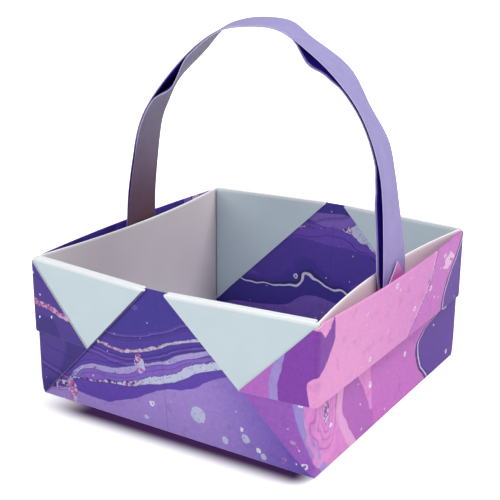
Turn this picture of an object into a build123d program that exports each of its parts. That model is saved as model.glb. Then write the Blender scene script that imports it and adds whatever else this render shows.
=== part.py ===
from build123d import *
from math import cos, pi, sin
import os

# Folded paper basket: one square sheet folded into an open box with a collar
# and four outside ears, and one paper strip folded lengthwise for the handle.
# Millimetres, +Z up, X along the front, Y to the back, origin at the centre
# of the footprint, on the table.

# Paper
paper = 0.2
pitch = 0.35  # from one layer of paper to the next, middle to middle
half_paper = paper / 2
clear = 0.15
turn_extra = 0.01  # a turn is this much fuller on each face than a flat layer
turn_lap = 0.05  # a turn runs on along its layers this far
turn_half = half_paper + turn_extra
turn_flats = 5  # flats that make up a half-round turn
turn_over = [pi - pi * flat / turn_flats for flat in range(turn_flats + 1)]
turn_under = [pi + pi * flat / turn_flats for flat in range(turn_flats + 1)]
turn_aside = [pi * flat / turn_flats - pi / 2 for flat in range(turn_flats + 1)]

# Box
base_side = 77.0
rim_gap = 5.4  # left in the middle of the front rim, between the tips of two ears
wall_height = (base_side - rim_gap) / 2  # an ear is as long as the wall is high
collar_depth = 18.4
hem_drop = 0.4  # the turned-up edge stops this far under the rim
rim_push = 3.6  # the front and back rims are pushed out this far in the middle
side_bow = 3.4  # the side rims are drawn in this far in the middle
collar_bow = 1.7  # the turned-up edge of the collar stands out this far there
pocket_room = 1.9  # room at the bottom of a side pocket, in the middle
half_base = base_side / 2
half_gap = rim_gap / 2
collar_bottom = wall_height - collar_depth
hem_top = wall_height - hem_drop

# Point of the sheet, folded down and up again in each side pocket
point_fold = collar_bottom + 0.3
point_down = hem_top - point_fold
hem_length = hem_top - collar_bottom
sheet_reach = base_side + 2 * wall_height  # centre of the sheet to its corner
used_reach = half_base + wall_height + collar_depth + hem_length
point_reach = sheet_reach - used_reach
point_apex = point_fold + point_reach - point_down
point_lean = 0.2  # the last of it leans this far towards the handle

# Handle
strip_width = 12.7
strip_opening = 0.6  # the two layers stand this far apart along the front edge
arch_radius = 13.0
foot_height = collar_bottom + 6.0
arch_shares = [  # points of the arch, across and above the table, as shares of the base's side
    (-0.469, 0.581), (-0.440, 0.775), (-0.370, 0.930), (-0.240, 1.062), (-0.125, 1.147),
    (0.013, 1.174), (0.110, 1.156), (0.286, 1.042), (0.392, 0.900), (0.436, 0.770), (0.462, 0.597),
]

front_plan = [
    (-half_base, 0), (-half_base, -half_base), (-half_gap, -half_base - rim_push),
    (half_gap, -half_base - rim_push), (half_base, -half_base), (half_base, 0),
]
rim_lean = Vector(0, -wall_height, -rim_push).normalized()


def front_hull(distance):
    """Space behind the front wall, its faces moved out by a distance."""
    with BuildPart() as hull:
        with BuildSketch():
            with BuildLine():
                Polyline(front_plan, close=True)
            make_face()
            offset(amount=distance, kind=Kind.INTERSECTION)
        extrude(amount=wall_height)
        foot = Vector(0, -half_base, 0) + rim_lean * distance
        split(bisect_by=Plane(foot, x_dir=(1, 0, 0), z_dir=-rim_lean))
    return hull.part


def front_layer(distance, outline):
    """One layer of the front wall, cut to an outline seen from the front."""
    with BuildPart() as layer:
        add(front_hull(distance + half_paper))
        add(front_hull(distance - half_paper), mode=Mode.SUBTRACT)
        with BuildSketch(Plane.XZ.offset(half_base / 2)):
            with BuildLine():
                Polyline(outline, close=True)
            make_face()
        extrude(amount=base_side, mode=Mode.INTERSECT)
    return layer.part


def turned(middle, height, radius, angles):
    """Points of a half-round turn, in the order of its angles."""
    return [(middle + radius * cos(a), height + radius * sin(a)) for a in angles]


def turn_outline(radius):
    """Section of a turn that joins two layers, with a short lap on each."""
    outer = radius + turn_half
    inner = radius - turn_half
    points = [(-turn_lap, -outer)] + turned(0, 0, outer, turn_aside) + [(-turn_lap, outer)]
    points += [(-turn_lap, inner)] + turned(0, 0, inner, turn_aside)[::-1] + [(-turn_lap, -inner)]
    return points


def fold(start, end, outward, radius):
    """Half-round turn of the paper along a straight crease."""
    start = Vector(*start)
    along = Vector(*end) - start
    with BuildPart() as turn:
        with BuildSketch(Plane(start, x_dir=outward, z_dir=along)):
            with BuildLine():
                Polyline(*turn_outline(radius), close=True)
            make_face()
        extrude(amount=along.length)
    return turn.part


def crease(start, end):
    """Rounded edge where the paper turns a corner."""
    start = Vector(*start)
    along = Vector(*end) - start
    with BuildPart() as edge:
        with BuildSketch(Plane(start, z_dir=along)):
            RegularPolygon(half_paper - turn_extra / 2, side_count=8)
        extrude(amount=along.length)
    return edge.part


def side_x(height, bow):
    """Middle of the side wall's paper at a height."""
    return half_base - side_bow * bow * height / wall_height


def side_loft(section):
    """Layers along the side wall, from their cross-section at each share of the bow."""
    with BuildPart() as layers:
        for along, bow in ((-half_base, 0), (0, 1), (half_base, 0)):
            with BuildSketch(Plane.XZ.offset(-along)):
                with BuildLine():
                    Polyline(*section(bow), close=True)
                make_face()
        loft()
    return layers.part


def hem_foot(bow):
    return side_x(collar_bottom, bow) + 2 * pitch + (pocket_room - pitch) * bow


def hem_rim(bow):
    return half_base + 2 * pitch + collar_bow * bow


def point_foot(bow):
    """Middle of the sheet's point on its way down, at the bottom of the pocket."""
    rise = (point_fold - collar_bottom) / hem_length
    return hem_foot(bow) + (hem_rim(bow) - hem_foot(bow)) * rise - pitch


def side_section(bow):
    """Up the wall, out over the rim, down the collar, and up its turned edge."""
    rim_middle = side_x(wall_height, bow) + pitch / 2
    collar_foot = side_x(collar_bottom, bow) + pitch
    foot_radius = (hem_foot(bow) - collar_foot) / 2
    foot_middle = collar_foot + foot_radius
    near = [(half_base - half_paper, half_paper)]
    near += turned(rim_middle, wall_height, pitch / 2 + half_paper, turn_over)
    near += turned(foot_middle, collar_bottom, foot_radius - half_paper, turn_under)
    near += [(hem_rim(bow) - half_paper, hem_top)]
    far = [(half_base + half_paper, half_paper)]
    far += turned(rim_middle, wall_height, pitch / 2 - half_paper, turn_over)
    far += turned(foot_middle, collar_bottom, foot_radius + half_paper, turn_under)
    far += [(hem_rim(bow) + half_paper, hem_top)]
    return near + far[::-1]


def point_section(bow):
    """In over the collar's turned edge, down the pocket, and round its bottom."""
    top_middle = hem_rim(bow) - pitch / 2
    low_middle = point_foot(bow) - pitch / 2
    near = turned(top_middle, hem_top, pitch / 2 + half_paper, turn_over[::-1])
    near += turned(low_middle, point_fold, pitch / 2 - half_paper, turn_under[::-1])
    far = turned(top_middle, hem_top, pitch / 2 - half_paper, turn_over[::-1])
    far += turned(low_middle, point_fold, pitch / 2 + half_paper, turn_under[::-1])
    return near + far[::-1]


def tip_section(bow):
    """The sheet's point, standing up out of the pocket."""
    low = point_foot(bow) - pitch
    high = low - point_lean
    return [
        (low - half_paper, point_fold), (low + half_paper, point_fold),
        (high + half_paper, point_apex), (high - half_paper, point_apex),
    ]


# Side wall with its collar; at the corner each layer runs on until it meets its own ear layer
with BuildPart() as side:
    with BuildSketch(Plane.XZ.offset(half_base)):
        with BuildLine():
            Polyline(*side_section(0), close=True)
        make_face()
    extrude(amount=4 * pitch)
    with BuildSketch():
        with Locations((half_base + pitch / 2, -half_base - 2 * pitch)):
            Rectangle(base_side, base_side, align=Align.MAX)
        with Locations((half_base + 1.5 * pitch, -half_base - 3 * pitch)):
            Rectangle(base_side, base_side, align=Align.MAX)
    extrude(amount=base_side, mode=Mode.SUBTRACT)
    add(side_loft(side_section))

# The sheet's point is a triangle folded in two: down into the pocket, then up
point_half = point_reach
fold_half = point_reach - point_down
with BuildPart() as point:
    add(side_loft(point_section))
    with BuildSketch(Plane.YZ):
        with BuildLine():
            Polyline(
                (-fold_half, 0), (-fold_half, point_fold), (-point_half, hem_top),
                (-point_half, wall_height), (point_half, wall_height), (point_half, hem_top),
                (fold_half, point_fold), (fold_half, 0), close=True,
            )
        make_face()
    extrude(amount=base_side, mode=Mode.INTERSECT)
with BuildPart() as tip:
    add(side_loft(tip_section))
    with BuildSketch(Plane.YZ):
        with BuildLine():
            Polyline((-fold_half, point_fold), (fold_half, point_fold), (0, point_apex), close=True)
        make_face()
    extrude(amount=base_side, mode=Mode.INTERSECT)

# Front wall, from the inside out, seen from the front
turn_edge = half_base - 2 * pitch
floor_level = half_paper + pitch
front_rim = [(turn_edge, wall_height), (-turn_edge, wall_height)]
full_front = [(-turn_edge, half_paper), (turn_edge, half_paper)] + front_rim
inner_front = [(-turn_edge, floor_level), (turn_edge, floor_level)] + front_rim
inner_ear = [(turn_edge, floor_level), (turn_edge, wall_height), (half_gap, wall_height)]
outer_ear = [(turn_edge, 2 * pitch), (turn_edge, wall_height), (half_gap, wall_height)]
cheek = [(half_base, 0), (half_base, wall_height), (half_gap, wall_height)]
collar_end = half_base - (wall_height - collar_depth)
collar_side = half_base + pitch
hem_side = half_base + 2 * pitch
collar_ear = [
    (collar_side, collar_bottom), (collar_end, collar_bottom), (half_gap, wall_height),
    (collar_side, wall_height),
]
hem_ear = [
    (hem_side, collar_bottom), (collar_end, collar_bottom), (half_base, hem_top), (hem_side, hem_top),
]


def on_front(across, height, distance):
    """Point of the right ear's plane, moved out by a distance."""
    slope = rim_push / (half_base - half_gap)
    stretch = (1 + slope * slope) ** 0.5
    return across, -half_base - (half_base - across) * slope - distance * stretch, height


def ear_turn(start, end, distance, outward, radius):
    return fold(on_front(*start, distance), on_front(*end, distance), outward, radius)


corner_foot = (half_base - 1.5 * paper, 1.5 * paper)
corner_rim = (collar_side, wall_height)
turn_foot = (turn_edge, floor_level)
turn_rim = (turn_edge, wall_height)
ear_rim = (half_gap, wall_height)
hem_corner = (hem_side, collar_bottom)
with BuildPart() as ear:
    add(front_layer(-2 * pitch, inner_ear))
    add(front_layer(pitch, outer_ear))
    add(front_layer(2 * pitch, cheek))
    add(front_layer(3 * pitch, collar_ear))
    add(front_layer(4 * pitch, hem_ear))
    # Turns at the upright edge of the front wall
    add(ear_turn(turn_foot, turn_rim, 0.5 * pitch, (1, 0, 0), pitch / 2))
    add(ear_turn(turn_foot, turn_rim, -1.5 * pitch, (1, 0, 0), pitch / 2))
    # Turns along the rim
    add(ear_turn(turn_rim, ear_rim, -0.5 * pitch, (0, 0, 1), 1.5 * pitch))
    add(ear_turn(corner_rim, ear_rim, 2.5 * pitch, (0, 0, 1), pitch / 2))
    # Slanting edge of the ear, and the foot of its turned-up collar
    add(ear_turn(corner_foot, ear_rim, 1.5 * pitch, (-1, 0, -1), pitch / 2))
    add(ear_turn(hem_corner, (collar_end, collar_bottom), 3.5 * pitch, (0, 0, -1), pitch / 2))
    # Upright corner, one round edge for each layer that goes past it
    for across, low, high, layers in (
        (half_base, half_paper, wall_height, 2), (collar_side, collar_bottom, wall_height, 3),
        (hem_side, collar_bottom, hem_top, 4),
    ):
        distance = layers * pitch
        add(crease(on_front(across, low, distance), on_front(across, high, distance)))

# The front wall's own turn over its rim, as far as the middle
with BuildPart() as rim_turn:
    with BuildLine() as rim_line:
        rim_middle = on_front(half_gap, wall_height, -0.5 * pitch)
        rim_start = on_front(turn_edge, wall_height, -0.5 * pitch)
        Polyline(rim_start, rim_middle, (0, rim_middle[1], wall_height))
    with BuildSketch(Plane(rim_line.line @ 0, x_dir=(0, 0, 1), z_dir=rim_line.line % 0)):
        with BuildLine():
            Polyline(*turn_outline(pitch / 2), close=True)
        make_face()
    sweep(path=rim_line.line, transition=Transition.RIGHT)

# Middle of the front wall and the point of the sheet that lies on the floor
floor_edge = pitch - half_base
with BuildPart() as front:
    add(front_layer(0, full_front))
    add(front_layer(-pitch, inner_front))
    add(crease((-half_base, -half_base, half_paper), (half_base, -half_base, half_paper)))
    add(crease((-turn_edge, floor_edge, floor_level), (turn_edge, floor_edge, floor_level)))
    with BuildSketch(Plane.XY.offset(floor_level - half_paper)):
        with BuildLine():
            Polyline((-turn_edge, floor_edge), (turn_edge, floor_edge), (0, -clear), close=True)
        make_face()
    extrude(amount=paper)

# The whole sheet, from its front right quarter
with BuildPart() as quarter:
    with BuildSketch():
        Rectangle(half_base, half_base, align=(Align.MIN, Align.MAX))
    extrude(amount=paper)
    add([side.part, point.part, tip.part, ear.part, rim_turn.part, front.part])
    with BuildSketch():
        Rectangle(base_side, base_side, align=(Align.MIN, Align.MAX))
    extrude(amount=base_side, mode=Mode.INTERSECT)
with BuildPart() as folded_sheet:
    add(quarter.part)
    mirror(about=Plane.YZ)
    mirror(about=Plane.XZ)

# Handle: a strip folded in two lengthwise, its fold at the back
foot_x = side_x(foot_height, 1) + 2 * pitch
arch_points = [(base_side * across, base_side * above) for across, above in arch_shares]
handle_path = [(-foot_x, foot_height)] + arch_points + [(foot_x, foot_height)]
with BuildPart() as handle:
    with BuildLine(Plane.XZ) as arch:
        FilletPolyline(handle_path, radius=arch_radius)
    start_plane = Plane(arch.line @ 0, x_dir=(0, 1, 0), z_dir=arch.line % 0)
    with BuildSketch(start_plane):
        with BuildLine():
            half_strip = strip_width / 2
            Polyline(
                (-half_strip, -half_paper), (half_strip, -half_paper), (half_strip + paper, pitch / 2),
                (half_strip, pitch + half_paper), (-half_strip, pitch + strip_opening + half_paper),
                (-half_strip, pitch + strip_opening - half_paper),
                (half_strip - half_paper, pitch - half_paper), (half_strip, pitch / 2),
                (half_strip - half_paper, half_paper), (-half_strip, half_paper), close=True,
            )
        make_face()
    sweep(path=arch.line)

os.makedirs("parts", exist_ok=True)
folded_sheet.part.label = "folded_basket"
handle.part.label = "handle"
export_step(folded_sheet.part, "parts/folded_basket.step")
export_step(handle.part, "parts/handle.step")
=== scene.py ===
import math

import bmesh
import bpy
from bpy.props import FloatProperty, FloatVectorProperty, IntProperty, PointerProperty
from mathutils import Matrix, Vector


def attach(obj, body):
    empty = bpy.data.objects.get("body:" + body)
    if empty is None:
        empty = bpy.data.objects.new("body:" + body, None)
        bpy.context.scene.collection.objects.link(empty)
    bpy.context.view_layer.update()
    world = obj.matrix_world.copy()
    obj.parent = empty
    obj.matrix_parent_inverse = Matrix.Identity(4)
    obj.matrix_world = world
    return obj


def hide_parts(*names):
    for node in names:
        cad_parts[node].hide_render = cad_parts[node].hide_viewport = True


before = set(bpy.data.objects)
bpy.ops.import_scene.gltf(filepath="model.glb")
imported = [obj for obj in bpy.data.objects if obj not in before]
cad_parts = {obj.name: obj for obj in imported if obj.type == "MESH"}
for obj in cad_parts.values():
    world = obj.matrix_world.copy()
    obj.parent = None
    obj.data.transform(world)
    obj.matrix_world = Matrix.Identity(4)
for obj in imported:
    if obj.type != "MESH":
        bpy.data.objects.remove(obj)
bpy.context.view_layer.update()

bl_info = {
    "name": "Folded paper basket",
    "version": (1, 0, 0),
    "blender": (4, 5, 0),
    "location": "View3D > Sidebar > Basket",
    "description": "Folds a square basket from one marbled sheet and adds its paper strip handle",
    "category": "Add Mesh",
}

MM = 0.001


# Small helpers

def srgb(red, green, blue):
    """A colour given on the 0 to 255 scale, as the linear values that Blender works in."""
    def linear(value):
        value /= 255
        return value / 12.92 if value <= 0.04045 else ((value + 0.055) / 1.055) ** 2.4
    return (linear(red), linear(green), linear(blue), 1.0)


def colour(name, description, red, green, blue):
    return FloatVectorProperty(
        name=name, description=description, subtype="COLOR", size=4, min=0, max=1,
        default=srgb(red, green, blue),
    )


def length(name, description, millimetres):
    return FloatProperty(
        name=name, description=description, default=millimetres * MM, min=0,
        unit="LENGTH", subtype="DISTANCE", precision=4,
    )


def number(name, description, default, least=0.0):
    return FloatProperty(name=name, description=description, default=default, min=least)


def between(low, high, share):
    return low + (high - low) * share


def eased(value):
    value = min(max(value, 0.0), 1.0)
    return value * value * (3 - 2 * value)


def soft_least(one, other, rounding):
    """The lesser of two heights, with the corner between them eased."""
    spread = max(rounding - abs(one - other), 0.0)
    return min(one, other) - spread * spread / (4 * rounding)


def on_arc(across, up, radius, start, end, share):
    angle = math.radians(between(start, end, share))
    return across + radius * math.cos(angle), up + radius * math.sin(angle)


def along_list(points, where):
    """Value at a place along a list of (place, value) pairs, eased from one to the next."""
    for (start, low), (end, high) in zip(points, points[1:]):
        if where <= end:
            return between(low, high, eased((where - start) / (end - start)))
    return points[-1][1]


def smooth_line(points, steps):
    """Evenly spaced points along a smooth line through the given ones."""
    padded = [2 * points[0] - points[1]] + points + [2 * points[-1] - points[-2]]
    fine = []
    for a, b, c, d in zip(padded, padded[1:], padded[2:], padded[3:]):
        for step in range(12):
            t = step / 12
            fine.append(0.5 * (
                2 * b + (c - a) * t + (2 * a - 5 * b + 4 * c - d) * t * t
                + (3 * b - a - 3 * c + d) * t * t * t
            ))
    fine.append(points[-1].copy())
    reach = [0.0]
    for one, other in zip(fine, fine[1:]):
        reach.append(reach[-1] + (other - one).length)
    line, at = [], 0
    for step in range(steps + 1):
        goal = reach[-1] * step / steps
        while at < len(fine) - 2 and reach[at + 1] < goal:
            at += 1
        share = (goal - reach[at]) / (reach[at + 1] - reach[at])
        line.append(fine[at].lerp(fine[at + 1], share))
    return line


# Sizes and colours that a user would change

class BasketSizes(bpy.types.PropertyGroup):
    base_side: length("Base side", "Side of the square base", 77.0)
    wall_height: length("Wall height", "Height of the four walls", 35.8)
    collar_depth: length("Collar depth", "How far the collar hangs down outside", 18.4)
    hem_drop: length("Hem drop", "How far the turned-up edge stays below the rim", 0.4)
    paper: length("Paper", "Thickness of the sheet", 0.2)
    pitch: length("Layer pitch", "Distance from one layer to the next", 0.35)
    rim_push: length("Front rim push", "How far the front and back rims stand out in the middle", 3.6)
    side_bow: length("Side rim draw", "How far the side rims are drawn in in the middle", 3.4)
    collar_bow: length("Collar bow", "How far the collar's edge stands out in the middle", 1.7)
    pocket_room: length("Pocket room", "Room at the bottom of a side pocket", 1.9)
    cell: length("Cell", "Distance between the cuts that let a flat panel bend", 3.6)


class HandleSizes(bpy.types.PropertyGroup):
    strip_width: length("Strip width", "Width of the folded strip", 12.7)
    steps: IntProperty(
        name="Steps", description="Cells along the strip", default=120, min=20, max=400,
    )


class PaperColours(bpy.types.PropertyGroup):
    indigo: colour("Indigo", "Darkest blue of the print", 58, 44, 140)
    violet: colour("Violet", "Middle violet of the print", 98, 66, 170)
    lavender: colour("Lavender", "Light violet of the print", 140, 108, 196)
    orchid: colour("Orchid", "Pink violet of the print", 204, 116, 198)
    rose: colour("Rose", "Lightest pink of the print", 232, 152, 210)
    plum: colour("Plum", "Deep red violet of the print", 118, 52, 160)
    mist: colour("Mist", "Pale blue bands of the print", 186, 192, 222)
    fleck: colour("Fleck", "Red flecks of the print", 188, 92, 142)
    line: colour("Line", "Dark contour lines of the print", 44, 26, 104)
    spark: colour("Spark", "White rings and dots of the print", 236, 228, 242)
    reverse: colour("Reverse", "Pale blue back of the marbled sheet", 204, 222, 228)
    # Painted light: the back of the side walls is the same pale paper, given a warm cream for the pink light
    # thrown on it and shining through it.
    painted_warm_light: colour("Cream", "Back of the sheet on the side walls", 236, 224, 226)
    core: colour("Core", "White cut edge of the sheet", 244, 246, 248)
    lilac: colour("Lilac", "Outer layer of the handle's strip", 150, 145, 197)
    lilac_end: colour("Lilac end", "Outer layer of the strip towards its ends", 156, 142, 198)
    # Painted shade: the inner layer is the same lilac paper, made greyer at the top of the arch and dark plum
    # towards the ends, where the inside of the arch is in shade.
    shade: colour("Shade", "Inner layer of the handle's strip", 150, 142, 168)
    painted_shade_end: colour("Shade end", "Inner layer of the strip towards its ends", 94, 58, 74)
    # Painted shade: the faces turned into the gap between the strip's two layers are the lilac paper made
    # deep navy, except beside the long edges.
    painted_gap_shade: colour("Lining", "Face that is folded in along the handle", 62, 36, 176)
    lilac_edge: colour("Lilac edge", "Cut edge of the handle's strip", 196, 184, 228)


class StageSettings(bpy.types.PropertyGroup):
    lens: number("Lens", "Focal length on a 36 mm sensor, in mm", 74.52, least=10)
    key_power: number("Key light", "Power of the key light", 5.5)
    fill_power: number("Fill light", "Power of the front fill", 3.4)
    side_power: number("Side light", "Power of the side light", 0.9)
    sky_light: number("Room light", "Strength of the room's light", 0.46)


# Shader expressions

class Wire:
    """One shader socket, so that node maths can be written as Python expressions."""

    def __init__(self, maker, socket):
        self.maker, self.socket = maker, socket

    def math(self, operation, *others):
        return self.maker.node("ShaderNodeMath", {"operation": operation}, (self,) + others)

    def __add__(self, other): return self.math("ADD", other)
    def __radd__(self, other): return self.math("ADD", other)
    def __sub__(self, other): return self.math("SUBTRACT", other)
    def __rsub__(self, other):
        return self.maker.node("ShaderNodeMath", {"operation": "SUBTRACT"}, (other, self))

    def __mul__(self, other): return self.math("MULTIPLY", other)
    def __rmul__(self, other): return self.math("MULTIPLY", other)
    def __truediv__(self, other): return self.math("DIVIDE", other)
    def __neg__(self): return self.math("MULTIPLY", -1.0)

    def least(self, other): return self.math("MINIMUM", other)
    def most(self, other): return self.math("MAXIMUM", other)
    def absolute(self): return self.math("ABSOLUTE")

    def step(self, low, high):
        """0 below low, 1 above high, eased between them."""
        return self.maker.node(
            "ShaderNodeMapRange", {"interpolation_type": "SMOOTHSTEP"},
            (self, float(low), float(high), 0.0, 1.0),
        )

    def band(self, middle, half, soft):
        """1 within half of the middle, 0 outside it."""
        return 1 - (self - middle).absolute().step(half - soft, half + soft)

    def past(self, soft=0.12):
        """0 on one side of a line and 1 past it, where this is the distance from the line."""
        return self.step(-soft, soft)


class Maker:
    """Makes the nodes of one material."""

    def __init__(self, name):
        self.material = bpy.data.materials.new(name)
        self.material.use_nodes = True
        self.tree = self.material.node_tree
        self.shader = self.tree.nodes["Principled BSDF"]

    def node(self, kind, settings=None, values=(), out=0):
        made = self.tree.nodes.new(kind)
        for key, value in (settings or {}).items():
            setattr(made, key, value)
        pairs = values.items() if isinstance(values, dict) else enumerate(values)
        for key, value in pairs:
            self.feed(made.inputs[key], value)
        return Wire(self, made.outputs[out])

    def feed(self, socket, value):
        if isinstance(value, Wire):
            self.tree.links.new(value.socket, socket)
        else:
            socket.default_value = value

    def mix(self, share, low, high, kind="MIX"):
        made = self.tree.nodes.new("ShaderNodeMix")
        made.data_type, made.blend_type = "RGBA", kind
        self.feed(made.inputs[0], share)
        self.feed(made.inputs[6], low)
        self.feed(made.inputs[7], high)
        return Wire(self, made.outputs[2])

    def vector(self, operation, *values):
        return self.node("ShaderNodeVectorMath", {"operation": operation}, values)

    def scaled(self, vector, amount):
        settings = {"operation": "SCALE"}
        return self.node("ShaderNodeVectorMath", settings, {0: vector, "Scale": amount})

    def size(self, vector):
        return self.node("ShaderNodeVectorMath", {"operation": "LENGTH"}, (vector,), "Value")

    def two_ways(self, vector):
        """The first two parts of a vector."""
        parts = self.node("ShaderNodeSeparateXYZ", {}, (vector,))
        return parts, Wire(self, parts.socket.node.outputs[1])

    def noise(self, vector, scale, detail=2.0, roughness=0.5, colours=False):
        values = {"Vector": vector, "Scale": scale, "Detail": detail, "Roughness": roughness}
        return self.node("ShaderNodeTexNoise", {}, values, 1 if colours else 0)

    def stirred(self, place, scale, detail, amount):
        """The place, pushed about by noise."""
        return self.vector("ADD", place, self.scaled(self.noise(place, scale, detail, 0.5, True), amount))

    def cells(self, vector, scale):
        """Distance from the middle of the nearest cell, and a number from 0 to 1 that each cell keeps."""
        values = {"Vector": vector, "Scale": scale}
        distance = self.node("ShaderNodeTexVoronoi", {}, values)
        kept = Wire(self, distance.socket.node.outputs["Color"])
        return distance, self.node("ShaderNodeSeparateColor", {}, (kept,))

    def ramp(self, factor, stops):
        made = self.tree.nodes.new("ShaderNodeValToRGB")
        marks = made.color_ramp.elements
        while len(marks) < len(stops):
            marks.new(1.0)
        for mark, (place, value) in zip(marks, stops):
            mark.position = place
            mark.color = value
        self.feed(made.inputs[0], factor)
        return Wire(self, made.outputs[0])

    def finish(self, base, roughness, bump=None, bump_depth=0.0, **fixed):
        self.feed(self.shader.inputs["Base Color"], base)
        self.feed(self.shader.inputs["Roughness"], roughness)
        for name, value in fixed.items():
            self.shader.inputs[name.replace("_", " ")].default_value = value
        if bump is not None:
            values = {"Height": bump, "Distance": bump_depth, "Strength": 1.0}
            self.feed(self.shader.inputs["Normal"], self.node("ShaderNodeBump", {}, values))
        return self.material


SHEET_SPAN = 0.3  # the piece's UV square stands for this much of flat paper


def sheet_place(maker):
    """Place on the flat sheet in millimetres, from its centre."""
    flat = maker.node("ShaderNodeTexCoord", {}, out="UV")
    centred = maker.vector("SUBTRACT", flat, (0.5, 0.5, 0.0))
    return maker.scaled(centred, SHEET_SPAN / MM)


def fibre_bump(maker, place):
    """Felted paper: fine fibres and a soft cloudiness."""
    long_way = maker.vector("MULTIPLY", place, (0.55, 2.2, 1.0))
    fibres = maker.noise(long_way, 2.4, 3.0, 0.6)
    felt = maker.noise(place, 5.5, 2.0, 0.6)
    return fibres * 0.6 + felt * 0.4


def drawn(maker, along, points):
    """Height of a line drawn through (along, across) points, in millimetres on the flat sheet."""
    start, end = points[0][0], points[-1][0]
    low = min(point[1] for point in points)
    rise = max(point[1] for point in points) - low
    made = maker.tree.nodes.new("ShaderNodeFloatCurve")
    marks = made.mapping.curves[0].points
    for mark, point in ((marks[0], points[0]), (marks[1], points[-1])):
        mark.location = ((point[0] - start) / (end - start), (point[1] - low) / rise)
    for point in points[1:-1]:
        marks.new((point[0] - start) / (end - start), (point[1] - low) / rise)
    for mark in marks:
        mark.handle_type = "AUTO_CLAMPED"
    made.mapping.update()
    maker.feed(made.inputs["Value"], (along - start) / (end - start))
    return Wire(maker, made.outputs[0]) * rise + low


BAND_REACH = 150.0  # the bands are given this far to each side of the sheet's middle
BAND_SOFTNESS = 0.14


def crisp_bands(maker, where, inks):
    """Bands of ink with crisp edges: (place where a band starts, its colour), in millimetres."""
    def share(place):
        return (place + BAND_REACH) / (2 * BAND_REACH)
    stops = [(0.0, inks[0][1])]
    for (place, ink), before in zip(inks[1:], inks):
        stops += [(share(place - BAND_SOFTNESS), before[1]), (share(place + BAND_SOFTNESS), ink)]
    return maker.ramp(where / (2 * BAND_REACH) + 0.5, stops)


# Lines of the print, as (along, across) in millimetres from the middle of the flat sheet.
# On the front wall:
FOOT_LINE = [
    (-40, -40), (-31, -42), (-20, -41.5), (-11, -44), (-4, -47.5), (1, -50), (7, -51.5),
    (12, -54.5), (25, -61), (40, -66),
]
LOW_VEIN = [
    (-40, -44), (-28, -45.5), (-14, -47.5), (-9, -48.8), (-3, -51), (2, -53), (7, -56),
    (14, -59.4), (25, -63), (40, -67),
]
MIDDLE_VEIN = [
    (-40, -42), (-31, -43), (-27, -47), (-21, -50.5), (-16, -50.6), (-10, -52.2), (-4, -55),
    (3, -58), (13, -62.3), (25, -67), (40, -71),
]
TOP_VEIN = [
    (-40, -60), (-20, -58.2), (-13, -57), (-8, -57.8), (-2, -59.7), (3, -61.8), (7, -63.6),
    (11, -65), (25, -69), (40, -72),
]
FRONT_BLOTS = [  # with their radius
    (9.0, -45.5, 2.1), (-6.0, -40.6, 0.7), (16.0, -41.0, 0.9), (21.5, -43.0, 1.1), (26.0, -39.8, 0.8),
]
FLECKED_PATCHES = [(-6.6, -54.7, 1.5, 2.6), (-28.5, -41.5, 1.6, 3.2)]  # with their half sizes
# On the side wall and its collar:
EAR_STRIPE = [
    (36, -33), (44, -38), (50, -41), (55, -42.5), (75, -46), (93, -47.8), (101, -46.4), (111, -44),
]
WALL_STRIPE = [(36, -19), (41, -22.5), (45, -25), (50, -27), (54, -26), (60, -23)]
WEDGE = [(36, -11), (43, -11.5), (47, -13), (53, -16.5), (60, -21)]
COLLAR_PATCH = [
    (90, -38.2), (94, -39.2), (97, -39.8), (99, -38.8), (101, -36.5), (104, -34), (107, -33), (111, -33.5),
]
DOTTED_LINE = [(90, 3), (94, 7.4), (98, 11), (101, 14), (105, 16.8), (111, 18.5)]
DOUBLE_LINE = [
    (36, 23), (40, 20), (44, 16.8), (48, 15.6), (51, 18.5), (54, 27.5), (60, 37), (80, 37),
    (93, 27.6), (96, 27.8), (100, 29.7), (104, 33.5), (111, 40),
]
# Over the whole sheet: veins as (distance from the middle of the currents, half width)
VEINS = [
    (-60.0, 1.0), (-50.0, 1.6), (30.0, 1.3), (56.0, 1.2), (-92.0, 1.4), (84.0, 1.7), (118.0, 1.5),
    (-127.0, 1.5),
]
DOUBLE_LINES = [12.0, 98.0, -108.0]
# Spots scattered at random: how close they lie, their size, and the share of places left bare
BLOTS = [(0.034, 0.080, 0.5), (0.075, 0.072, 0.6)]
RINGS = [(0.115, 0.045, 0.078, 0.35), (0.21, 0.0, 0.055, 0.5), (0.4, 0.03, 0.07, 0.72)]


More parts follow.
